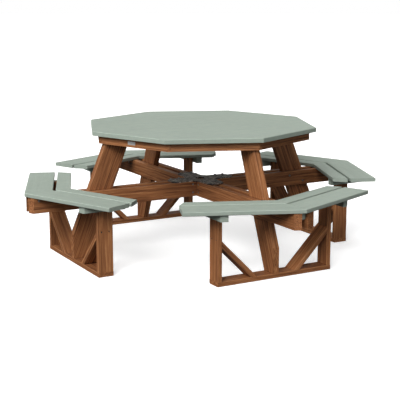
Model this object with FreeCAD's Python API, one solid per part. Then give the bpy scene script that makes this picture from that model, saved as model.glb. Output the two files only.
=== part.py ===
# Octagonal picnic table with four V-shaped benches.
#
# Units are millimetres.  +Z is up, the origin is on the ground at the centre of
# the table.  Four identical arms run out from the centre along +X (right),
# +Y (back), -X (left) and -Y (front).  Each arm is a pair of seat beams with a
# leaning leg clamped between them, a bench end frame standing on the ground and
# a V of four seat boards.  The arm is built once in its own frame, where
# +X is radial (outward) and +Y is tangential, and is then turned into place.
import math
import os
import FreeCAD
import Part

V = FreeCAD.Vector

# ---------------------------------------------------------------- dimensions
TOP_R = 698.5            # tabletop circumradius, corner to centre
TOP_T = 25.4             # tabletop thickness
TABLE_H = 747.0          # height of the tabletop's upper face
TOP_EASE = 4.0           # rounded edge of the tabletop

POLE_R = 20.0            # umbrella pole hole radius in the tabletop
PLATE_HOLE_R = 27.0      # wider hole in the centre plate, so that the pole finds it from above
CAP_R = 27.0             # flange of the cap that closes the hole in the top
CAP_T = 2.0

APRON_APO = 608.0        # centre to outer face of an apron panel
APRON_T = 16.0
APRON_H = 47.0

SEAT_TOP = 432.4         # height of the seat boards' upper face
SEAT_T = 22.2            # seat board thickness
SEAT_EASE = 4.0
OUTER_N0, OUTER_N1 = 873.1, 1026.1    # outer seat board, distance range from centre
INNER_N0, INNER_N1 = 773.2, 856.0     # inner seat board
SEAT_END_U = 213.0       # board end, measured along the board from its mid foot
MITRE_GAP = 0.4          # half of the hairline gap at the V joint

BEAM_T = 38.1            # thickness of one seat beam
BEAM_H = 88.9            # height of one seat beam
BEAM_GAP = 38.1          # space between the two beams of an arm
BEAM_END_N = 1019.1      # beam ends are cut parallel to the seat edges

LEG_T = 38.1             # fills the space between the beams
LEG_W = 137.0
LEG_LEAN = 22.3          # degrees from vertical

BOARD_T = 25.4           # boards of the bench end frame
BOARD_W = 88.9
RAIL_R1 = 834.7          # outer edge of the ground rail
RAIL_HALF = 363.2        # half length of the ground rail
BRACE_ANGLE = 45.0
BRACE_Z = 244.8          # where the brace's upper face meets the post

CLEAT = 38.1             # square section of the cleats under the seats
CLEAT_R0 = 688.0
CLEAT_END_N = 1006.9
VCLEAT_R0 = 842.0
VCLEAT_END_N = 996.0

PLATE_T = 6.35
PLATE_REACH = 205.0
PLATE_W = 112.0
PLATE_CUT = 24.0         # corner cut of the plate's ends and of its inner corners

BATTEN_R0, BATTEN_R1 = 254.0, 609.0

EASE = 2.5               # rounded long edges of the brown boards

# derived levels
TOP_U = TABLE_H - TOP_T          # underside of the tabletop
SEAT_U = SEAT_TOP - SEAT_T       # underside of the seats, top of the beams
BEAM_Z0 = SEAT_U - BEAM_H
CLEAT_Z0 = SEAT_U - CLEAT
RAIL_R0 = RAIL_R1 - BOARD_W
POST_T0 = RAIL_HALF - BOARD_T    # inner face of a post
T0 = BEAM_GAP / 2.0              # inner face of a beam
T1 = T0 + BEAM_T                 # outer face of a beam
H = math.radians(22.5)
C22, S22 = math.cos(H), math.sin(H)

ARMS = [("right", 0), ("back", 90), ("left", 180), ("front", 270)]

NODES = {}


def add(name, shapes):
    NODES.setdefault(name, [])
    if isinstance(shapes, (list, tuple)):
        NODES[name].extend(shapes)
    else:
        NODES[name].append(shapes)


def turned(shape, deg):
    s = shape.copy()
    s.rotate(V(0, 0, 0), V(0, 0, 1), deg)
    return s


def box(x0, x1, y0, y1, z0, z1):
    return Part.makeBox(x1 - x0, y1 - y0, z1 - z0, V(x0, y0, z0))


def board(x0, x1, y0, y1, z0, z1, axis, ease):
    """Box whose four edges along the axis are rounded."""
    b = box(x0, x1, y0, y1, z0, z1)
    d = {"x": V(1, 0, 0), "y": V(0, 1, 0), "z": V(0, 0, 1)}[axis]
    es = []
    for e in b.Edges:
        p, q = e.Vertexes[0].Point, e.Vertexes[1].Point
        if abs(abs((q - p).normalize().dot(d)) - 1.0) < 1e-6:
            es.append(e)
    return b.makeFillet(ease, es)


def below_n(shape, n, side=0):
    """Keep what lies inside the line at distance n, on the side or both."""
    for s in ([side] if side else [1, -1]):
        tool = box(n, n + 3000, -3000, 3000, -500, 1500)
        tool = turned(tool, 22.5 * s)
        shape = shape.cut(tool)
    return shape


def solid(shape):
    sols = shape.Solids
    if len(sols) != 1:
        raise RuntimeError("expected one solid, got %d" % len(sols))
    return sols[0]


def cyl(p, d, r, length):
    return Part.makeCylinder(r, length, p, d)


def drill(shape, holes):
    tools = [cyl(p, d, r, l) for (p, d, r, l) in holes]
    if tools:
        shape = shape.cut(tools)
    return solid(shape)


def hexagon(p, d, across, height):
    """Hexagonal prism standing on point p along direction d."""
    r = across / 2.0 / math.cos(math.radians(30))
    pts = [V(r * math.cos(math.radians(60 * k)), r * math.sin(math.radians(60 * k)), 0) for k in range(7)]
    prism = Part.Face(Part.makePolygon(pts)).extrude(V(0, 0, height))
    rot = FreeCAD.Rotation(V(0, 0, 1), d)
    prism.Placement = FreeCAD.Placement(p, rot)
    return prism


def octagon(r, z):
    pts = [V(r * math.cos(math.radians(45 * k)), r * math.sin(math.radians(45 * k)), z) for k in range(9)]
    return Part.Face(Part.makePolygon(pts))


# ------------------------------------------------------------------ fasteners
# through bolt: flange head on +t, flange nut on -t
BOLT_R, BOLT_AF, BOLT_HEAD, FLANGE_R, FLANGE_T = 4.75, 14.3, 5.5, 10.5, 1.6
# structural screw with a small hex head, one sided
SS_R, SS_LEN, SS_AF, SS_HEAD, SS_FLANGE_R, SS_FLANGE_T = 3.6, 103.0, 9.5, 4.2, 6.4, 1.4
# lag screw with washer head at the centre
LAG_R, LAG_HEAD_R, LAG_HEAD_T = 3.0, 5.6, 2.4
# plate bolt
PB_R, PB_AF, PB_HEAD, PB_WASH_R, PB_WASH_T = 4.0, 12.7, 5.0, 9.5, 1.6
# wood screws driven from below or from hidden faces
SC_R, SC_HEAD_R, SC_HEAD_T = 2.3, 4.3, 2.4


def through_bolt(r, z, t_half):
    """Bolt along t through 2*t_half of wood.  Returns bolt, nut, hole."""
    p = V(r, -t_half - FLANGE_T - 9.0, z)
    shank = cyl(p, V(0, 1, 0), BOLT_R, 2 * t_half + FLANGE_T + 9.0)
    flange = cyl(V(r, t_half, z), V(0, 1, 0), FLANGE_R, FLANGE_T)
    head = hexagon(V(r, t_half + FLANGE_T, z), V(0, 1, 0), BOLT_AF, BOLT_HEAD)
    bolt = solid(shank.fuse([flange, head]).removeSplitter())
    nf = cyl(V(r, -t_half - FLANGE_T, z), V(0, 1, 0), FLANGE_R, FLANGE_T)
    nh = hexagon(V(r, -t_half - FLANGE_T - 7.5, z), V(0, 1, 0), BOLT_AF, 7.5)
    nut = nf.fuse(nh).removeSplitter().cut(cyl(p - V(0, 5, 0), V(0, 1, 0), BOLT_R, 30))
    nut = solid(nut)
    hole = (V(r, -t_half - 1, z), V(0, 1, 0), BOLT_R, 2 * t_half + 2)
    return bolt, nut, hole


def structural_screw(r, z, s):
    """Hex head screw driven along t from the side s through one beam and what lies between, into the far beam."""
    p, d = V(r, s * T1, z), V(0, -s, 0)
    shank = cyl(p, d, SS_R, SS_LEN)
    flange = cyl(p - d * SS_FLANGE_T, d, SS_FLANGE_R, SS_FLANGE_T)
    head = hexagon(p - d * (SS_FLANGE_T + SS_HEAD), d, SS_AF, SS_HEAD)
    return solid(shank.fuse([flange, head]).removeSplitter()), (p - d, d, SS_R, SS_LEN + 2)


def screw(p, d, length, r=SC_R, hr=SC_HEAD_R, ht=SC_HEAD_T):
    """Screw whose head sits just outside point p, shank along d."""
    d = V(d).normalize()
    head = cyl(p - d * ht, d, hr, ht)
    shank = cyl(p, d, r, length)
    return solid(head.fuse(shank).removeSplitter())


def screw_sunk(p, d, length, depth, r=SC_R, hr=SC_HEAD_R, ht=SC_HEAD_T):
    """Screw with its head sunk under the surface; returns solid and holes."""
    d = V(d).normalize()
    q = p + d * depth
    s = screw(q, d, length, r, hr, ht)
    holes = [(p - d * 12, d, hr, depth + 12), (q, d, r, length)]
    return s, holes


# ------------------------------------------------------------------- the top
cap_hole = (V(0, 0, TOP_U - 5), V(0, 0, 1), POLE_R, TOP_T + 10)
top = octagon(TOP_R, TOP_U).extrude(V(0, 0, TOP_T))
top_edges = [e for e in top.Edges if all(abs(v.Z - TABLE_H) < 1e-6 for v in e.Vertexes)]
top = top.makeFillet(TOP_EASE, top_edges)
low_edges = [e for e in top.Edges if all(abs(v.Z - TOP_U) < 1e-6 for v in e.Vertexes)]
top = top.makeFillet(1.5, low_edges)

# cap that closes the umbrella hole: flange let in flush with the top, plug in the hole
CAP_Z = TABLE_H - CAP_T
cap_seat = (V(0, 0, CAP_Z), V(0, 0, 1), CAP_R + 0.3, CAP_T + 5)
cap = cyl(V(0, 0, CAP_Z), V(0, 0, 1), CAP_R, CAP_T)
cap = cap.makeFillet(0.7, [e for e in cap.Edges if abs(e.BoundBox.ZMin - TABLE_H) < 1e-6])
plug = cyl(V(0, 0, TOP_U + 3), V(0, 0, 1), POLE_R, CAP_Z - TOP_U - 3)
plug_in = cyl(V(0, 0, TOP_U), V(0, 0, 1), POLE_R - 3, CAP_Z - TOP_U - 3)
cap = solid(cap.fuse(plug).removeSplitter().cut(plug_in))
add("umbrella_hole_cap", cap)

# ------------------------------------------------------------------ the apron
apron_screws = []
top_holes = [cap_hole, cap_seat]
apron_holes = {}
for k in range(8):
    a = 22.5 + 45 * k
    p = board(APRON_APO - APRON_T, APRON_APO, -320, 320, TOP_U - APRON_H, TOP_U, "y", 1.2)
    # the leading end is cut flush with the next panel's outer face, the
    # trailing end butts against the previous panel's inner face
    lead = turned(box(APRON_APO, APRON_APO + 900, -900, 900, 0, 900), 45)
    trail = turned(box(APRON_APO - APRON_T, APRON_APO + 900, -900, 900, 0, 900), -45)
    p = p.cut([lead, trail])
    holes = []
    for y in (-150.0, 150.0):
        x = APRON_APO - APRON_T / 2.0
        s, hs = screw_sunk(V(x, y, TOP_U - APRON_H), V(0, 0, 1), 56.0, 6.0)
        apron_screws.append(turned(s, a))
        holes += hs
        c = turned(cyl(hs[1][0], hs[1][1], hs[1][2], hs[1][3]), a)
        top_holes.append(c)
    p = drill(solid(p), holes)
    add("apron_panels", turned(p, a))

# blank metal plaque on the panel between the front and left arms
PLAQUE_W, PLAQUE_H, PLAQUE_T = 55.0, 20.0, 1.0
PLAQUE_Y = -4.0
PLAQUE_Z = TOP_U - 23.0
pl = box(APRON_APO, APRON_APO + PLAQUE_T, PLAQUE_Y - PLAQUE_W / 2, PLAQUE_Y + PLAQUE_W / 2,
         PLAQUE_Z - PLAQUE_H / 2, PLAQUE_Z + PLAQUE_H / 2)
pl = pl.makeFillet(2.5, [e for e in pl.Edges if e.BoundBox.XLength > 0.9])
add("apron_plaque", turned(pl, 202.5))

# ---------------------------------------------------------- centre plate (X)
w, L, c = PLATE_W / 2.0, PLATE_REACH, PLATE_CUT
quarter = [(w + c, w), (L - c, w), (L, w - c), (L, -(w - c)), (L - c, -w), (w + c, -w)]
pts = []
for q in range(4):
    ang = -90.0 * q
    for (x, y) in quarter:
        a = math.radians(ang)
        pts.append(V(x * math.cos(a) - y * math.sin(a), x * math.sin(a) + y * math.cos(a), SEAT_U))
pts.append(pts[0])
plate = Part.Face(Part.makePolygon(pts)).extrude(V(0, 0, PLATE_T))
vert = [e for e in plate.Edges if e.BoundBox.ZLength > PLATE_T * 0.9]
plate = plate.makeFillet(14.0, vert)
plate = plate.cut(cyl(V(0, 0, SEAT_U - 5), V(0, 0, 1), PLATE_HOLE_R, 20))

plate_holes, beam_top_holes = [], []
for (r, t) in [(126.0, 38.1), (179.0, 38.1), (126.0, -38.1), (179.0, -38.1)]:
    zt = SEAT_U + PLATE_T
    washer = cyl(V(r, t, zt), V(0, 0, 1), PB_WASH_R, PB_WASH_T)
    head = hexagon(V(r, t, zt + PB_WASH_T), V(0, 0, 1), PB_AF, PB_HEAD)
    shank = cyl(V(r, t, zt - PLATE_T - 55.0), V(0, 0, 1), PB_R, 55.0 + PLATE_T)
    b = solid(washer.fuse([head, shank]).removeSplitter())
    for (_, ang) in ARMS:
        add("plate_bolts", turned(b, ang))
        plate_holes.append(turned(cyl(V(r, t, SEAT_U - 60), V(0, 0, 1), PB_R, 80), ang))
    beam_top_holes.append((V(r, t, SEAT_U - 55.0), V(0, 0, 1), PB_R, 60.0))
plate = solid(plate.cut(plate_holes))
add("centre_plate", plate)

# ----------------------------------------------------------------- one arm
tanl = math.tan(math.radians(LEG_LEAN))
cosl = math.cos(math.radians(LEG_LEAN))


def leg_in(z):
    """Radius of the leg's inner edge at height z."""
    return RAIL_R0 - tanl * (z - BOARD_T)


# structural screws: two through each leg crossing, driven from the -t side, and two through the
# corner cleat, driven from the +t side; through bolts with nuts: two through the leg's head and its battens
screw_sites = [(712.7, 344.4, -1), (613.2, 384.8, -1), (1048.0, 391.0, 1), (877.0, 391.0, 1)]
z_head = TOP_U - CLEAT / 2.0
leg_mid_top = leg_in(z_head) + LEG_W / cosl / 2.0
bolt_sites = [(leg_mid_top - 38.0, z_head, T1), (leg_mid_top + 38.0, z_head, T1)]
bolts, nuts, bolt_holes = [], [], []
for (r, z, side) in screw_sites:
    b, h = structural_screw(r, z, side)
    bolts.append(b)
    bolt_holes.append(h)
for (r, z, th) in bolt_sites:
    b, n, h = through_bolt(r, z, th)
    bolts.append(b)
    nuts.append(n)
    bolt_holes.append(h)

# centre spacer and the screws that hold it, two from each side
spacer = board(32.0, 122.0, -T0, T0, BEAM_Z0, SEAT_U, "z", 1.5)
centre_screws, centre_holes = [], []
for s in (1, -1):
    for z in (393.7, 345.4):
        p = V(81.5, s * T1, z)
        d = V(0, -s, 0)
        centre_screws.append(screw(p, d, 53.0, LAG_R, LAG_HEAD_R, LAG_HEAD_T))
        centre_holes.append((p - d * 2, d, LAG_R, 55.0))
spacer = drill(solid(spacer), centre_holes)

# seat beams, a on the +t side and b on the -t side
beams = {}
for nm, s in (("a", 1), ("b", -1)):
    y0, y1 = (T0, T1) if s > 0 else (-T1, -T0)
    bm = board(0.0, 1200.0, y0, y1, BEAM_Z0, SEAT_U, "x", EASE)
    bm = below_n(bm, BEAM_END_N, s)
    # inner end is cut at 45 degrees and meets the beam of the next arm
    wedge = Part.Face(Part.makePolygon([V(0.3, 0, 300), V(90.3, s * 90, 300), V(-200, s * 90, 300), V(0.3, 0, 300)])).extrude(V(0, 0, 200))
    bm = bm.cut(wedge)
    bm = drill(solid(bm), bolt_holes[:4] + centre_holes + beam_top_holes)
    beams[nm] = bm

# leaning leg: from the ground rail, between the beams, to the tabletop
length = 1000.0
leg = board(-200.0, length, 0.0, LEG_W, -LEG_T / 2, LEG_T / 2, "x", EASE)
# local x along the leg, local y across its width, local z is tangential
up = V(-math.sin(math.radians(LEG_LEAN)), 0, cosl)
across = V(cosl, 0, math.sin(math.radians(LEG_LEAN)))
m = FreeCAD.Matrix()
m.A11, m.A21, m.A31 = up.x, up.y, up.z
m.A12, m.A22, m.A32 = across.x, across.y, across.z
tz = up.cross(across)
m.A13, m.A23, m.A33 = tz.x, tz.y, tz.z
m.A14, m.A24, m.A34 = RAIL_R0, 0.0, BOARD_T
leg = leg.copy()
leg.Placement = FreeCAD.Placement(m)
leg = leg.common(box(200, RAIL_R1, -60, 60, BOARD_T, TOP_U))
leg_screws, leg_holes, rail_holes = [], [], []
for r in (RAIL_R0 + 28.0, RAIL_R0 + 62.0):
    s, hs = screw_sunk(V(r, 0, 0), V(0, 0, 1), 75.0, 5.0)
    leg_screws.append(s)
    leg_holes += hs
leg = drill(solid(leg), [bolt_holes[0], bolt_holes[1], bolt_holes[4], bolt_holes[5]] + leg_holes)
rail_holes += leg_holes

# battens beside the leg's head, screwed up into the tabletop
battens, batten_screws = [], []
for s in (1, -1):
    y0, y1 = (T0, T1) if s > 0 else (-T1, -T0)
    bt = board(BATTEN_R0, BATTEN_R1, y0, y1, TOP_U - CLEAT, TOP_U, "x", EASE)
    hs_all = []
    for r in (275.0, 360.0, 440.0, 585.0):
        sc, hs = screw_sunk(V(r, s * (T0 + T1) / 2, TOP_U - CLEAT), V(0, 0, 1), 50.0, 6.0)
        batten_screws.append(sc)
        hs_all += hs
        for (_, ang) in ARMS:
            top_holes.append(turned(cyl(*[hs[1][0], hs[1][1], hs[1][2], hs[1][3]]), ang))
    bt = drill(solid(bt), [bolt_holes[4], bolt_holes[5]] + hs_all)
    battens.append(bt)

# bench end frame: ground rail, two posts, two braces
posts, braces, frame_screws = {}, [], list(leg_screws)
bt_c, bt_s = math.cos(math.radians(BRACE_ANGLE)), math.sin(math.radians(BRACE_ANGLE))
for nm, s in (("a", 1), ("b", -1)):
    y0, y1 = (POST_T0, RAIL_HALF) if s > 0 else (-RAIL_HALF, -POST_T0)
    post = board(RAIL_R0, RAIL_R1, y0, y1, BOARD_T, SEAT_U, "z", EASE)
    ph = []
    # two screws up through the rail
    for r in (RAIL_R0 + 24.0, RAIL_R0 + 65.0):
        sc, hs = screw_sunk(V(r, (y0 + y1) / 2, 0), V(0, 0, 1), 75.0, 5.0)
        frame_screws.append(sc)
        ph += hs
        rail_holes += hs
    # brace: upper face meets the post's inner face at BRACE_Z
    br = board(-60.0, 600.0, -BOARD_T, 0.0, RAIL_R0, RAIL_R1, "x", EASE)
    ux = V(0, -s * bt_c, -bt_s)          # down and towards the leg
    uy = V(0, -s * bt_s, bt_c)           # normal to the brace's upper face
    m = FreeCAD.Matrix()
    m.A11, m.A21, m.A31 = ux.x, ux.y, ux.z
    m.A12, m.A22, m.A32 = uy.x, uy.y, uy.z
    uz = ux.cross(uy)
    m.A13, m.A23, m.A33 = uz.x, uz.y, uz.z
    off = 0.0 if uz.x > 0 else RAIL_R0 + RAIL_R1
    m.A14, m.A24, m.A34 = off, s * POST_T0, BRACE_Z
    br = br.copy()
    br.Placement = FreeCAD.Placement(m)
    if s > 0:
        keep = box(RAIL_R0 - 5, RAIL_R1 + 5, 5, POST_T0, BOARD_T, 400)
    else:
        keep = box(RAIL_R0 - 5, RAIL_R1 + 5, -POST_T0, -5, BOARD_T, 400)
    br = br.common(keep)
    bh = []
    # two screws driven along the brace's axis from the post's outer face
    for r in (RAIL_R0 + 22.0, RAIL_R0 + 67.0):
        mid = V(r, s * POST_T0, BRACE_Z - BOARD_T / bt_c / 2.0)
        start = mid - ux * (BOARD_T / bt_c)
        sc, hs = screw_sunk(start, ux, 78.0, 5.5)
        frame_screws.append(sc)
        ph += hs
        bh += hs
    # one screw up through the rail into the brace's foot
    y_foot = POST_T0 - (BRACE_Z - BOARD_T) / math.tan(math.radians(BRACE_ANGLE))
    y_foot = y_foot + BOARD_T / bt_s / 2.0
    sc, hs = screw_sunk(V((RAIL_R0 + RAIL_R1) / 2, s * (y_foot + 6.0), 0), V(0, 0, 1), 40.0, 5.0)
    frame_screws.append(sc)
    bh += hs
    rail_holes += hs
    # two screws from the post's inner face into the seat's end cleat
    ch = []
    for r in (RAIL_R0 + 26.0, RAIL_R0 + 63.0):
        p = V(r, s * POST_T0, SEAT_U - CLEAT / 2.0)
        d = V(0, s, 0)
        sc = screw(p, d, 50.0)
        frame_screws.append(sc)
        h = (p - d * 1.0, d, SC_R, 51.0)
        ph.append(h)
        ch.append(h)
    posts[nm] = drill(solid(post), ph)
    braces.append(drill(solid(br), bh))
    posts[nm + "_cleat_holes"] = ch

rail = board(RAIL_R0, RAIL_R1, -RAIL_HALF, RAIL_HALF, 0.0, BOARD_T, "y", EASE)
rail = drill(solid(rail), rail_holes)

# cleats under the seats
seat_screws = []
slat_holes = {1: [], -1: []}
end_cleats = []
for nm, s in (("a", 1), ("b", -1)):
    y0, y1 = (RAIL_HALF, RAIL_HALF + CLEAT) if s > 0 else (-RAIL_HALF - CLEAT, -RAIL_HALF)
    cl = board(CLEAT_R0, 1000.0, y0, y1, CLEAT_Z0, SEAT_U, "x", EASE)
    cl = below_n(cl, CLEAT_END_N, s)
    hs_all = list(posts[nm + "_cleat_holes"])
    for r in (730.0, 822.0, 890.0):
        sc, hs = screw_sunk(V(r, (y0 + y1) / 2, CLEAT_Z0), V(0, 0, 1), 46.0, 6.0)
        seat_screws.append(sc)
        hs_all += hs
        slat_holes[s].append(hs[1])
    end_cleats.append(drill(solid(cl), hs_all))

vc = board(VCLEAT_R0, 1150.0, -T0, T0, CLEAT_Z0, SEAT_U, "x", EASE)
vc = below_n(vc, VCLEAT_END_N)
vh = [bolt_holes[2], bolt_holes[3]]
for s in (1, -1):
    for r in (902.0, 985.0, 1030.0):
        sc, hs = screw_sunk(V(r, s * 10.5, CLEAT_Z0), V(0, 0, 1), 46.0, 6.0)
        seat_screws.append(sc)
        vh += hs
        slat_holes[s].append(hs[1])
vcleat = drill(solid(vc), vh)

# seat boards: two sections per bench, each an outer and an inner board
seats = {}
for nm, s in (("a", 1), ("b", -1)):
    for which, n0, n1 in (("outer", OUTER_N0, OUTER_N1), ("inner", INNER_N0, INNER_N1)):
        ya, yb = (-700.0, SEAT_END_U) if s > 0 else (-SEAT_END_U, 700.0)
        sb = board(n0, n1, ya, yb, SEAT_U, SEAT_TOP, "y", SEAT_EASE)
        # free end: rounded corners seen from above
        if which == "inner":
            # the inner board's free end runs parallel to the gap between benches
            ang = -22.5 * s
            cutter = box(-600, 600, 0, 600, 0, 900) if s > 0 else box(-600, 600, -600, 0, 0, 900)
            cutter.rotate(V(0, 0, 0), V(0, 0, 1), 22.5 * s)
            cutter.translate(V(n1, s * SEAT_END_U, 0))
            sb = sb.cut(cutter)
        sb = turned(sb, 22.5 * s)
        half = box(0, 1500, MITRE_GAP, 1500, 0, 900) if s > 0 else box(0, 1500, -1500, -MITRE_GAP, 0, 900)
        sb = solid(sb.common(half))
        # ease the free end's top and vertical edges
        seats[(nm, which)] = drill(sb, slat_holes[s])

for (arm, ang) in ARMS:
    for nm in ("a", "b"):
        add("beam_%s_%s" % (arm, nm), turned(beams[nm], ang))
        add("post_%s_%s" % (arm, nm), turned(posts[nm], ang))
        for which in ("outer", "inner"):
            add("seat_%s_%s_%s" % (arm, which, nm), turned(seats[(nm, which)], ang))
    add("leg_%s" % arm, turned(leg, ang))
    add("ground_rail_%s" % arm, turned(rail, ang))
    add("braces_%s" % arm, [turned(b, ang) for b in braces])
    add("centre_spacers", turned(spacer, ang))
    add("top_battens", [turned(b, ang) for b in battens])
    add("seat_end_cleats", [turned(b, ang) for b in end_cleats])
    add("seat_corner_cleats", turned(vcleat, ang))
    add("beam_bolts", [turned(b, ang) for b in bolts])
    add("beam_nuts", [turned(b, ang) for b in nuts])
    add("centre_screws", [turned(b, ang) for b in centre_screws])
    add("seat_screws", [turned(b, ang) for b in seat_screws])
    add("frame_screws", [turned(b, ang) for b in frame_screws])
    add("top_screws", [turned(b, ang) for b in batten_screws])
add("top_screws", apron_screws)

tools = []
for h in top_holes:
    tools.append(h if hasattr(h, "Solids") else cyl(*h))
top = solid(top.cut(tools))
add("tabletop", top)

# --------------------------------------------------------------------- output
os.makedirs("parts", exist_ok=True)
for name in sorted(NODES):
    shapes = NODES[name]
    for sh in shapes:
        if not sh.isValid():
            raise RuntimeError("invalid solid in " + name)
    out = shapes[0] if len(shapes) == 1 else Part.makeCompound(shapes)
    out.exportStep("parts/%s.step" % name)
    bb = out.BoundBox
    print("%-22s solids %3d  x %.1f..%.1f y %.1f..%.1f z %.1f..%.1f" % (
        name, len(out.Solids), bb.XMin, bb.XMax, bb.YMin, bb.YMax, bb.ZMin, bb.ZMax))
print("nodes", len(NODES))
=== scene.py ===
import math

import bpy
import numpy as np
from mathutils import Matrix, Vector


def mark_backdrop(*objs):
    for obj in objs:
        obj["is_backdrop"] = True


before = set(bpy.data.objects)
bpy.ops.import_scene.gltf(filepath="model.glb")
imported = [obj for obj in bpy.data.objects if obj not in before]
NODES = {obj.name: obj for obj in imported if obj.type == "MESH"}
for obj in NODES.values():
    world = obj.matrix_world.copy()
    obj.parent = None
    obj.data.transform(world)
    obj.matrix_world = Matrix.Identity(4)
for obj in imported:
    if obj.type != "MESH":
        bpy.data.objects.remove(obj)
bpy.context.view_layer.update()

# ---------------------------------------------------------------- helpers


def rng_of(text):
    """A generator that depends only on a piece's name."""
    seed = 7
    for ch in text:
        seed = (seed * 131 + ord(ch)) % 2147483647
    return np.random.default_rng(seed)


def mesh_arrays(me):
    co = np.zeros(len(me.vertices) * 3, np.float32)
    me.vertices.foreach_get("co", co)
    co = co.reshape(-1, 3).astype(float)
    me.calc_loop_triangles()
    n = len(me.loop_triangles)
    tri = np.zeros(n * 3, np.int32)
    me.loop_triangles.foreach_get("vertices", tri)
    return co, tri.reshape(-1, 3)


def loose_parts(co, tri):
    """Label of the board that each vertex belongs to. Triangles join over edges that two of them share;
    an edge of four is where two boards touch, and doesn't join them."""
    key = np.round(co * 1e5).astype(np.int64)
    _, same = np.unique(key, axis=0, return_inverse=True)
    t = same.reshape(-1)[tri].astype(np.int64)
    n = len(t)
    e = np.concatenate([t[:, [0, 1]], t[:, [1, 2]], t[:, [2, 0]]])
    e.sort(axis=1)
    who = np.tile(np.arange(n), 3)
    code = e[:, 0] * (t.max() + 1) + e[:, 1]
    order = np.argsort(code, kind="stable")
    code, who = code[order], who[order]
    begin = np.flatnonzero(np.r_[True, code[1:] != code[:-1]])
    count = np.diff(np.r_[begin, len(code)])
    pairs = begin[count == 2]
    parent = list(range(n))

    def find(i):
        while parent[i] != i:
            parent[i] = parent[parent[i]]
            i = parent[i]
        return i

    for a, b in zip(who[pairs].tolist(), who[pairs + 1].tolist()):
        a, b = find(a), find(b)
        if a != b:
            parent[b] = a
    roots = np.array([find(i) for i in range(n)])
    _, label = np.unique(roots, return_inverse=True)
    part = np.zeros(len(co), np.int64)
    part[tri.reshape(-1)] = np.repeat(label.reshape(-1), 3)
    return part


def board_axes(co, tri):
    """(along, across, through) of a board: along is the direction that no long face looks at."""
    a, b, c = co[tri[:, 0]], co[tri[:, 1]], co[tri[:, 2]]
    cr = np.cross(b - a, c - a)
    area = np.linalg.norm(cr, axis=1)
    ok = area > 1e-12
    n = cr[ok] / area[ok, None]
    w = area[ok]
    d = np.linalg.eigh((n * w[:, None]).T @ n)[1][:, 0]
    side = np.abs(n @ d) < 0.30
    if side.any():
        ns, ws = n[side], w[side]
        vec = np.linalg.eigh((ns * ws[:, None]).T @ ns)[1]
        d = vec[:, 0]
        thru = vec[:, 2]
    else:
        thru = np.linalg.eigh((n * w[:, None]).T @ n)[1][:, 2]
    k = int(np.argmax(np.abs(d)))
    if d[k] < 0:
        d = -d
    thru = thru - d * (thru @ d)
    thru /= np.linalg.norm(thru)
    return d, np.cross(thru, d), thru


def grain_coordinates(obj, along=None, heart=(0.05, 0.16)):
    """Writes each board's own coordinates to its mesh: 'grain' holds metres along, across and through the board,
    measured from the heart of the log it was sawn from; 'tone' is one number per board and 'ease' marks rounded edges."""
    me = obj.data
    co, tri = mesh_arrays(me)
    part = loose_parts(co, tri)
    rng = rng_of(obj.name)
    grain = np.zeros((len(co), 3), np.float32)
    tone = np.zeros(len(co), np.float32)
    tri_part = part[tri[:, 0]]
    axes = {}
    for p in range(part.max() + 1):
        mine = part == p
        t = tri[tri_part == p]
        if along is not None:
            d = np.array(along, float)
            thru = np.array([0.0, 0.0, 1.0])
            across = np.cross(thru, d)
        else:
            d, across, thru = board_axes(co, t)
        axes[p] = (d, across, thru)
        mid = (co[mine].min(0) + co[mine].max(0)) / 2
        q = co[mine] - mid
        far = rng.uniform(*heart)
        turn = rng.uniform(0.25, 1.25) * rng.choice([-1, 1])
        local = np.stack([q @ d, q @ across, q @ thru], 1)
        local[:, 0] += rng.uniform(-40, 40)
        local[:, 1] += far * math.cos(turn) * rng.choice([-1, 1])
        local[:, 2] += far * math.sin(turn)
        grain[mine] = local
        tone[mine] = rng.uniform(-1, 1)
    # rounded edges: small faces that look along none of the board's own flat sides
    ease = np.zeros(len(me.polygons), np.float32)
    nor = np.zeros(len(me.polygons) * 3, np.float32)
    me.polygons.foreach_get("normal", nor)
    nor = nor.reshape(-1, 3).astype(float)
    area = np.zeros(len(me.polygons), np.float32)
    me.polygons.foreach_get("area", area)
    start = np.zeros(len(me.polygons), np.int32)
    me.polygons.foreach_get("loop_start", start)
    lv = np.zeros(len(me.loops), np.int32)
    me.loops.foreach_get("vertex_index", lv)
    poly_part = part[lv[start]]
    key = np.round(nor * 60).astype(np.int64)
    key = np.concatenate([poly_part[:, None], key], 1)
    _, inv = np.unique(key, axis=0, return_inverse=True)
    inv = inv.reshape(-1)
    total = np.zeros(inv.max() + 1)
    np.add.at(total, inv, area)
    ease[total[inv] < 4.5e-4] = 1.0
    for p, (d, across, thru) in axes.items():
        m = poly_part == p
        flat = np.max(np.abs(np.stack([nor[m] @ d, nor[m] @ across, nor[m] @ thru], 1)), 1) > 0.992
        sub = ease[m]
        sub[flat] = 0.0
        ease[m] = sub
    g = me.attributes.new("grain", "FLOAT_VECTOR", "POINT")
    g.data.foreach_set("vector", grain.reshape(-1))
    t = me.attributes.new("tone", "FLOAT", "POINT")
    t.data.foreach_set("value", tone)
    e = me.attributes.new("ease", "FLOAT", "FACE")
    e.data.foreach_set("value", ease)


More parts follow.
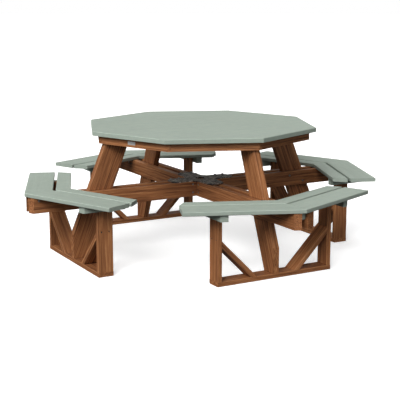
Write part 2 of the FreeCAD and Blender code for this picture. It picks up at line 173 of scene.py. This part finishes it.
class Tree:
    """Short calls for building a node tree."""

    def __init__(self, name):
        self.mat = bpy.data.materials.new(name)
        self.mat.use_nodes = True
        self.t = self.mat.node_tree
        self.t.nodes.clear()
        self.out = self.t.nodes.new("ShaderNodeOutputMaterial")
        self.bsdf = self.t.nodes.new("ShaderNodeBsdfPrincipled")
        self.t.links.new(self.bsdf.outputs["BSDF"], self.out.inputs["Surface"])

    def put(self, socket, value):
        if isinstance(value, bpy.types.NodeSocket):
            self.t.links.new(value, socket)
        elif value is not None:
            socket.default_value = value

    def attr(self, name, kind="Vector"):
        n = self.t.nodes.new("ShaderNodeAttribute")
        n.attribute_type = "GEOMETRY"
        n.attribute_name = name
        return n.outputs[kind]

    def math(self, op, a, b=None, c=None, clamp=False):
        n = self.t.nodes.new("ShaderNodeMath")
        n.operation = op
        n.use_clamp = clamp
        self.put(n.inputs[0], a)
        self.put(n.inputs[1], b)
        self.put(n.inputs[2], c)
        return n.outputs[0]

    def vec(self, op, a, b=None):
        n = self.t.nodes.new("ShaderNodeVectorMath")
        n.operation = op
        self.put(n.inputs[0], a)
        self.put(n.inputs[1], b)
        return n.outputs["Value"] if op in ("LENGTH", "DOT_PRODUCT", "DISTANCE") else n.outputs["Vector"]

    def noise(self, vector, scale, detail=2.0, rough=0.5, distort=0.0, color=False):
        n = self.t.nodes.new("ShaderNodeTexNoise")
        self.put(n.inputs["Vector"], vector)
        self.put(n.inputs["Scale"], scale)
        self.put(n.inputs["Detail"], detail)
        self.put(n.inputs["Roughness"], rough)
        self.put(n.inputs["Distortion"], distort)
        return n.outputs["Color"] if color else n.outputs[0]

    def voronoi(self, vector, scale, feature="F1"):
        n = self.t.nodes.new("ShaderNodeTexVoronoi")
        n.feature = feature
        self.put(n.inputs["Vector"], vector)
        self.put(n.inputs["Scale"], scale)
        return n.outputs["Distance"]

    def range(self, value, a, b, c=0.0, d=1.0):
        n = self.t.nodes.new("ShaderNodeMapRange")
        n.clamp = True
        self.put(n.inputs["Value"], value)
        for k, v in (("From Min", a), ("From Max", b), ("To Min", c), ("To Max", d)):
            self.put(n.inputs[k], v)
        return n.outputs["Result"]

    def ramp(self, value, stops):
        n = self.t.nodes.new("ShaderNodeValToRGB")
        el = n.color_ramp.elements
        while len(el) < len(stops):
            el.new(0.5)
        for e, (pos, col) in zip(el, stops):
            e.position = pos
            e.color = (*col, 1.0)
        self.put(n.inputs[0], value)
        return n.outputs[0]

    def mix(self, fac, a, b, blend="MIX"):
        n = self.t.nodes.new("ShaderNodeMix")
        n.data_type = "RGBA"
        n.blend_type = blend
        self.put(n.inputs["Factor"], fac)
        self.put(n.inputs["A"], a if isinstance(a, bpy.types.NodeSocket) else (*a, 1.0))
        self.put(n.inputs["B"], b if isinstance(b, bpy.types.NodeSocket) else (*b, 1.0))
        return n.outputs["Result"]

    def scale_color(self, color, factor):
        """color times a grey factor."""
        n = self.t.nodes.new("ShaderNodeVectorMath")
        n.operation = "SCALE"
        self.put(n.inputs[0], color)
        self.put(n.inputs["Scale"], factor)
        return n.outputs["Vector"]

    def seam(self, distance, low):
        """Painted shade where boards meet and in crevices under parts: an occlusion factor from low in the crevice to 1
        on open faces.
        """
        n = self.t.nodes.new("ShaderNodeAmbientOcclusion")
        n.samples = 8
        n.inputs["Distance"].default_value = distance
        return self.range(n.outputs["AO"], 0.30, 0.95, low, 1.0)

    def bump(self, height, distance, strength=1.0, normal=None):
        n = self.t.nodes.new("ShaderNodeBump")
        self.put(n.inputs["Height"], height)
        n.inputs["Distance"].default_value = distance
        n.inputs["Strength"].default_value = strength
        if normal is not None:
            self.put(n.inputs["Normal"], normal)
        return n.outputs["Normal"]


# ---------------------------------------------------------------- materials

def wood_material():
    """Brown stained boards: straight long grain, growth rings from the log, each board its own tone."""
    k = Tree("brown_board")
    g = k.attr("grain")
    tone = k.attr("tone", "Fac")
    ease = k.attr("ease", "Fac")
    # slow wander of the fibres along the board
    slow = k.vec("MULTIPLY", g, (1.6, 9.0, 9.0))
    wander = k.noise(slow, 1.0, 2.0, 0.5, color=True)
    wander = k.vec("MULTIPLY", k.vec("SUBTRACT", wander, (0.5, 0.5, 0.5)), (0.0, 0.022, 0.022))
    p = k.vec("ADD", g, wander)
    cross = k.vec("MULTIPLY", p, (0.0, 1.0, 1.0))
    radius = k.vec("LENGTH", cross)
    # ring index with uneven spacing
    uneven = k.noise(k.vec("MULTIPLY", p, (0.9, 14.0, 14.0)), 1.0, 3.0, 0.55)
    ring = k.math("ADD", k.math("MULTIPLY", radius, 118.0), k.math("MULTIPLY", uneven, 2.6))
    saw = k.math("FRACT", ring)
    late = k.math("POWER", saw, 2.2)                      # late wood: dark, sharp outer side
    fall = k.range(saw, 0.90, 1.0, 1.0, 0.0)
    late = k.math("MULTIPLY", late, fall)
    # broad streaks, fine streaks, pores
    streak = k.noise(k.vec("MULTIPLY", p, (2.6, 95.0, 95.0)), 1.0, 4.0, 0.62)
    fine = k.noise(k.vec("MULTIPLY", p, (6.0, 240.0, 240.0)), 1.0, 4.0, 0.65)
    pore = k.noise(k.vec("MULTIPLY", p, (38.0, 1500.0, 1500.0)), 1.0, 2.0, 0.5)
    broad = k.noise(k.vec("MULTIPLY", p, (0.9, 7.0, 7.0)), 1.0, 2.0, 0.5)
    v = k.math("MULTIPLY", late, -0.24)
    v = k.math("ADD", v, k.math("MULTIPLY", k.math("SUBTRACT", streak, 0.5), 1.58))
    v = k.math("ADD", v, k.math("MULTIPLY", k.math("SUBTRACT", fine, 0.5), 1.45))
    v = k.math("ADD", v, k.math("MULTIPLY", k.math("SUBTRACT", broad, 0.5), 0.50))
    v = k.math("ADD", v, k.math("MULTIPLY", tone, 0.06))
    v = k.math("ADD", v, 0.60, clamp=True)
    color = k.ramp(v, [(0.0, (0.074, 0.0250, 0.0088)), (0.30, (0.178, 0.0640, 0.0215)), (0.55, (0.276, 0.1070, 0.0385)),
                       (0.80, (0.385, 0.1600, 0.0610)), (1.0, (0.490, 0.2250, 0.0920))])
    pores = k.range(pore, 0.30, 0.42, 0.72, 1.0)
    color = k.scale_color(color, pores)
    # eased edges: stain rubbed thin, unevenly, plus a painted highlight along the rounded edges
    rub = k.noise(k.vec("MULTIPLY", g, (14.0, 60.0, 60.0)), 1.0, 3.0, 0.6)
    edge_wear_and_highlight = k.math("MULTIPLY", ease, k.range(rub, 0.36, 0.66, 0.25, 0.75))
    color = k.mix(edge_wear_and_highlight, color, (0.460, 0.210, 0.0880))
    # painted shade: boards darkened in the seams and crevices where less light reaches
    color = k.scale_color(color, k.seam(0.007, 0.45))
    k.put(k.bsdf.inputs["Base Color"], color)
    rough = k.range(v, 0.1, 0.9, 0.66, 0.48)
    rough = k.math("ADD", rough, k.math("MULTIPLY", k.math("SUBTRACT", fine, 0.5), 0.22))
    k.put(k.bsdf.inputs["Roughness"], rough)
    k.bsdf.inputs["Specular IOR Level"].default_value = 0.36
    h = k.math("ADD", k.math("MULTIPLY", streak, 0.7), k.math("MULTIPLY", fine, 0.55))
    h = k.math("ADD", h, k.math("MULTIPLY", pore, 0.16))
    h = k.math("SUBTRACT", h, k.math("MULTIPLY", late, 0.25))
    k.put(k.bsdf.inputs["Normal"], k.bump(h, 0.0006, 0.8))
    return k.mat


def sage_material(name, radial=False):
    """Sage green boards: solid coloured, fine drawn texture along each board, slight mottling, eased edges lightened as
    wear and as a painted highlight, painted shade in the seams.
    """
    k = Tree(name)
    g = k.attr("grain")
    tone = k.attr("tone", "Fac")
    ease = k.attr("ease", "Fac")
    cloud = k.noise(g, 3.2, 3.0, 0.55)
    mottle = k.noise(g, 24.0, 4.0, 0.6)
    drawn = k.noise(k.vec("MULTIPLY", g, (7.0, 260.0, 260.0)), 1.0, 4.0, 0.6)
    drawn2 = k.noise(k.vec("MULTIPLY", g, (1.8, 42.0, 42.0)), 1.0, 3.0, 0.55)
    grit = k.noise(g, 1400.0, 2.0, 0.5)
    f = k.math("MULTIPLY", k.math("SUBTRACT", cloud, 0.5), 0.09)
    f = k.math("ADD", f, k.math("MULTIPLY", k.math("SUBTRACT", mottle, 0.5), 0.10))
    f = k.math("ADD", f, k.math("MULTIPLY", k.math("SUBTRACT", drawn, 0.5), 0.26))
    f = k.math("ADD", f, k.math("MULTIPLY", k.math("SUBTRACT", drawn2, 0.5), 0.20))
    f = k.math("ADD", f, k.math("MULTIPLY", tone, 0.010))
    f = k.math("ADD", f, 1.0)
    hue = k.mix(k.range(mottle, 0.35, 0.65), (0.277, 0.327, 0.280), (0.2885, 0.333, 0.2855))
    color = k.scale_color(hue, f)
    rub = k.noise(k.vec("MULTIPLY", g, (18.0, 70.0, 70.0)), 1.0, 3.0, 0.6)
    # eased edges lightened: wear plus a painted highlight along the rounded edges
    edge_wear_and_highlight = k.math("MULTIPLY", ease, k.range(rub, 0.34, 0.68, 0.10, 0.50))
    color = k.mix(edge_wear_and_highlight, color, (0.375, 0.430, 0.375))
    # painted shade: boards darkened in the seams and crevices where less light reaches
    color = k.scale_color(color, k.seam(0.006, 0.70))
    k.put(k.bsdf.inputs["Base Color"], color)
    rough = k.range(drawn, 0.25, 0.75, 0.62, 0.76)
    rough = k.math("ADD", rough, k.math("MULTIPLY", k.math("SUBTRACT", cloud, 0.5), 0.12))
    k.put(k.bsdf.inputs["Roughness"], rough)
    k.bsdf.inputs["Specular IOR Level"].default_value = 0.22
    h = k.math("ADD", k.math("MULTIPLY", drawn, 0.6), k.math("MULTIPLY", grit, 0.25))
    h = k.math("ADD", h, k.math("MULTIPLY", mottle, 0.5))
    k.put(k.bsdf.inputs["Normal"], k.bump(h, 0.00028, 0.8))
    return k.mat


def plate_material():
    """Dark steel with a coarse powder coat, rubbed to grey here and there."""
    k = Tree("dark_steel_plate")
    g = k.attr("grain")
    ease = k.attr("ease", "Fac")
    peel = k.noise(g, 420.0, 3.0, 0.6)
    blot = k.noise(g, 78.0, 3.0, 0.7)
    wide = k.noise(g, 18.0, 2.0, 0.5)
    v = k.math("ADD", k.math("MULTIPLY", blot, 0.75), k.math("MULTIPLY", peel, 0.35))
    v = k.math("ADD", v, k.math("MULTIPLY", k.math("SUBTRACT", wide, 0.5), 0.25))
    color = k.ramp(v, [(0.37, (0.022, 0.019, 0.017)), (0.47, (0.060, 0.050, 0.042)), (0.56, (0.200, 0.165, 0.136)), (0.66, (0.500, 0.430, 0.370))])
    painted_edge_shade = k.math("MULTIPLY", ease, k.range(blot, 0.42, 0.62, 0.95, 0.60))      # cut edges painted darker than the top, as shade under the plate's lobes
    color = k.mix(painted_edge_shade, color, (0.016, 0.014, 0.013))
    # painted shade: plate darkened within 45 mm of the beams, bolts and other parts around it
    color = k.scale_color(color, k.seam(0.045, 0.14))
    k.put(k.bsdf.inputs["Base Color"], color)
    k.put(k.bsdf.inputs["Roughness"], k.range(v, 0.35, 0.8, 0.62, 0.48))
    k.bsdf.inputs["Specular IOR Level"].default_value = 0.34
    h = k.math("ADD", k.math("MULTIPLY", peel, 0.6), k.math("MULTIPLY", blot, 0.4))
    k.put(k.bsdf.inputs["Normal"], k.bump(h, 0.0008, 0.7))
    return k.mat


def metal_material(name, dark, light, metallic, rough_lo, rough_hi, brushed=False, specular=0.5):
    k = Tree(name)
    g = k.attr("grain")
    tone = k.attr("tone", "Fac")
    ease = k.attr("ease", "Fac")
    spangle = k.noise(g, 650.0, 3.0, 0.6)
    dirt = k.noise(g, 130.0, 3.0, 0.6)
    v = k.math("ADD", k.math("MULTIPLY", spangle, 0.6), k.math("MULTIPLY", dirt, 0.4))
    if brushed:
        lines = k.noise(k.vec("MULTIPLY", g, (30.0, 2600.0, 2600.0)), 1.0, 3.0, 0.6)
        v = k.math("ADD", k.math("MULTIPLY", lines, 0.7), k.math("MULTIPLY", dirt, 0.3))
    v = k.math("ADD", v, k.math("MULTIPLY", tone, 0.05))
    color = k.ramp(v, [(0.30, dark), (0.70, light)])
    # eased edges lightened: wear plus a painted highlight along the rounded edges
    edge_wear_and_highlight = k.math("MULTIPLY", ease, k.range(dirt, 0.40, 0.60, 0.1, 0.6))
    color = k.mix(edge_wear_and_highlight, color, tuple(min(1.0, c * 1.25) for c in light))
    k.put(k.bsdf.inputs["Base Color"], color)
    k.put(k.bsdf.inputs["Roughness"], k.range(v, 0.3, 0.7, rough_hi, rough_lo))
    k.bsdf.inputs["Metallic"].default_value = metallic
    k.bsdf.inputs["Specular IOR Level"].default_value = specular
    k.put(k.bsdf.inputs["Normal"], k.bump(v, 0.0002, 0.6))
    return k.mat


SAGE = sage_material("sage_board")
CAP = sage_material("sage_cap")
WOOD = wood_material()
PLATE = plate_material()
ZINC = metal_material("zinc_steel", (0.135, 0.132, 0.127), (0.320, 0.314, 0.303), 0.75, 0.30, 0.48)
PLAQUE = metal_material("plain_plaque", (0.465, 0.460, 0.462), (0.645, 0.640, 0.640), 0.45, 0.30, 0.44, brushed=True)
SCREW = metal_material("dark_screws", (0.022, 0.018, 0.016), (0.060, 0.050, 0.044), 0.35, 0.40, 0.58)

for name, obj in sorted(NODES.items()):
    along = None
    if name in ("tabletop", "umbrella_hole_cap", "centre_plate") or name.endswith(("bolts", "nuts", "screws")):
        along = (1.0, 0.0, 0.0)
    grain_coordinates(obj, along)
    if name == "tabletop" or name.startswith("seat_") and not name.endswith("screws"):
        mat, slot = SAGE, "sage_board"
    elif name == "umbrella_hole_cap":
        mat, slot = CAP, "sage_cap"
    elif name == "centre_plate":
        mat, slot = PLATE, "dark_steel_plate"
    elif name == "apron_plaque":
        mat, slot = PLAQUE, "plain_plaque"
    elif name.endswith(("bolts", "nuts")) or name == "centre_screws":
        mat, slot = ZINC, "zinc_steel"
    elif name.endswith("screws"):
        mat, slot = SCREW, "dark_screws"
    else:
        mat, slot = WOOD, "brown_board"
    obj.data.materials.clear()
    obj.data.materials.append(mat)
    for poly in obj.data.polygons:
        poly.material_index = 0

# ---------------------------------------------------------------- floor

def disc(name, radius, z, steps=96):
    me = bpy.data.meshes.new(name)
    pts = [(radius * math.cos(2 * math.pi * i / steps), radius * math.sin(2 * math.pi * i / steps), z) for i in range(steps)]
    me.from_pydata(pts, [], [tuple(range(steps))])
    me.update()
    o = bpy.data.objects.new(name, me)
    bpy.context.scene.collection.objects.link(o)
    return o


floor = disc("studio_floor", 62.0, 0.0)
fm = Tree("studio_floor")
tc = fm.t.nodes.new("ShaderNodeTexCoord").outputs["Object"]
patch = fm.noise(tc, 0.6, 2.0, 0.5)
fm.put(fm.bsdf.inputs["Base Color"], fm.mix(patch, (0.780, 0.780, 0.780), (0.800, 0.800, 0.800)))
fm.put(fm.bsdf.inputs["Roughness"], 0.9)
fm.bsdf.inputs["Specular IOR Level"].default_value = 0.0
fm.bsdf.inputs["Emission Color"].default_value = (1.0, 1.0, 1.0, 1.0)
fm.bsdf.inputs["Emission Strength"].default_value = 0.52
floor.data.materials.append(fm.mat)


def backdrop(name, radius, rings=12, steps=48):
    """A plain white dome that only the camera sees."""
    me = bpy.data.meshes.new(name)
    pts, faces = [], []
    for r in range(rings + 1):
        e = math.pi / 2 * r / rings
        for i in range(steps):
            a = 2 * math.pi * i / steps
            pts.append((radius * math.cos(e) * math.cos(a), radius * math.cos(e) * math.sin(a), radius * math.sin(e) - 1.0))
    for r in range(rings):
        for i in range(steps):
            j = (i + 1) % steps
            faces.append((r * steps + i, (r + 1) * steps + i, (r + 1) * steps + j, r * steps + j))
    me.from_pydata(pts, [], faces)
    me.update()
    o = bpy.data.objects.new(name, me)
    bpy.context.scene.collection.objects.link(o)
    m = Tree(name)
    m.bsdf.inputs["Base Color"].default_value = (0.0, 0.0, 0.0, 1.0)
    m.bsdf.inputs["Specular IOR Level"].default_value = 0.0
    m.bsdf.inputs["Emission Color"].default_value = (1.0, 1.0, 1.0, 1.0)
    m.bsdf.inputs["Emission Strength"].default_value = 1.0
    o.data.materials.append(m.mat)
    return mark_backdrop(o) or o


dome = backdrop("studio_backdrop", 60.0)
for o in (floor, dome):
    o.visible_diffuse = False
    o.visible_glossy = False
    o.visible_transmission = False
    o.visible_shadow = False

# ---------------------------------------------------------------- light

world = bpy.data.worlds.new("studio")
bpy.context.scene.world = world
world.use_nodes = True
wt = world.node_tree
bg = wt.nodes["Background"]
bg.inputs["Color"].default_value = (1.0, 1.0, 1.0, 1.0)
up = wt.nodes.new("ShaderNodeSeparateXYZ")
wt.links.new(wt.nodes.new("ShaderNodeTexCoord").outputs["Generated"], up.inputs[0])
level = wt.nodes.new("ShaderNodeMapRange")
wt.links.new(up.outputs["Z"], level.inputs["Value"])
for key, value in (("From Min", -0.15), ("From Max", 0.15), ("To Min", 0.07), ("To Max", 0.17)):
    level.inputs[key].default_value = value
wt.links.new(level.outputs["Result"], bg.inputs["Strength"])


def soft_light(name, azimuth, elevation, spread, strength, color=(1.0, 1.0, 1.0)):
    """A far soft light from a compass direction and height in degrees, as wide as spread."""
    data = bpy.data.lights.new(name, "SUN")
    data.angle = math.radians(spread)
    data.energy = strength
    data.color = color
    o = bpy.data.objects.new(name, data)
    bpy.context.scene.collection.objects.link(o)
    a, e = math.radians(azimuth), math.radians(elevation)
    away = Vector((math.cos(e) * math.cos(a), math.cos(e) * math.sin(a), math.sin(e)))
    o.location = away * 8.0
    o.rotation_euler = away.to_track_quat("Z", "Y").to_euler()
    return o


soft_light("key", 225, 35, 24, 2.13)
soft_light("key_left", 195, 28, 36, 1.50)
soft_light("low_front", 268, 14, 22, 0.32)
soft_light("side_left", 138, 42, 50, 0.48)
soft_light("back_fill", 52, 11, 40, 0.75).visible_glossy = False      # a matte fill for the far sides
soft_light("back_sheen", 52, 11, 40, 0.078)
soft_light("overhead", 180, 87, 56, 1.08)

# ---------------------------------------------------------------- camera

cam = bpy.data.cameras.new("camera")
cam.sensor_width = 36.0
cam.lens = 1003.58 / 400 * 36.0
cam.clip_end = 1000.0
cam_o = bpy.data.objects.new("camera", cam)
bpy.context.scene.collection.objects.link(cam_o)
cam_o.location = (-2.924457, -5.192635, 1.523824)
cam_o.rotation_euler = (math.radians(90.0 - 11.792), 0.0, math.radians(60.62 - 90.0))
bpy.context.scene.camera = cam_o

bpy.context.scene.view_settings.view_transform = "Standard"
bpy.context.scene.view_settings.look = "None"
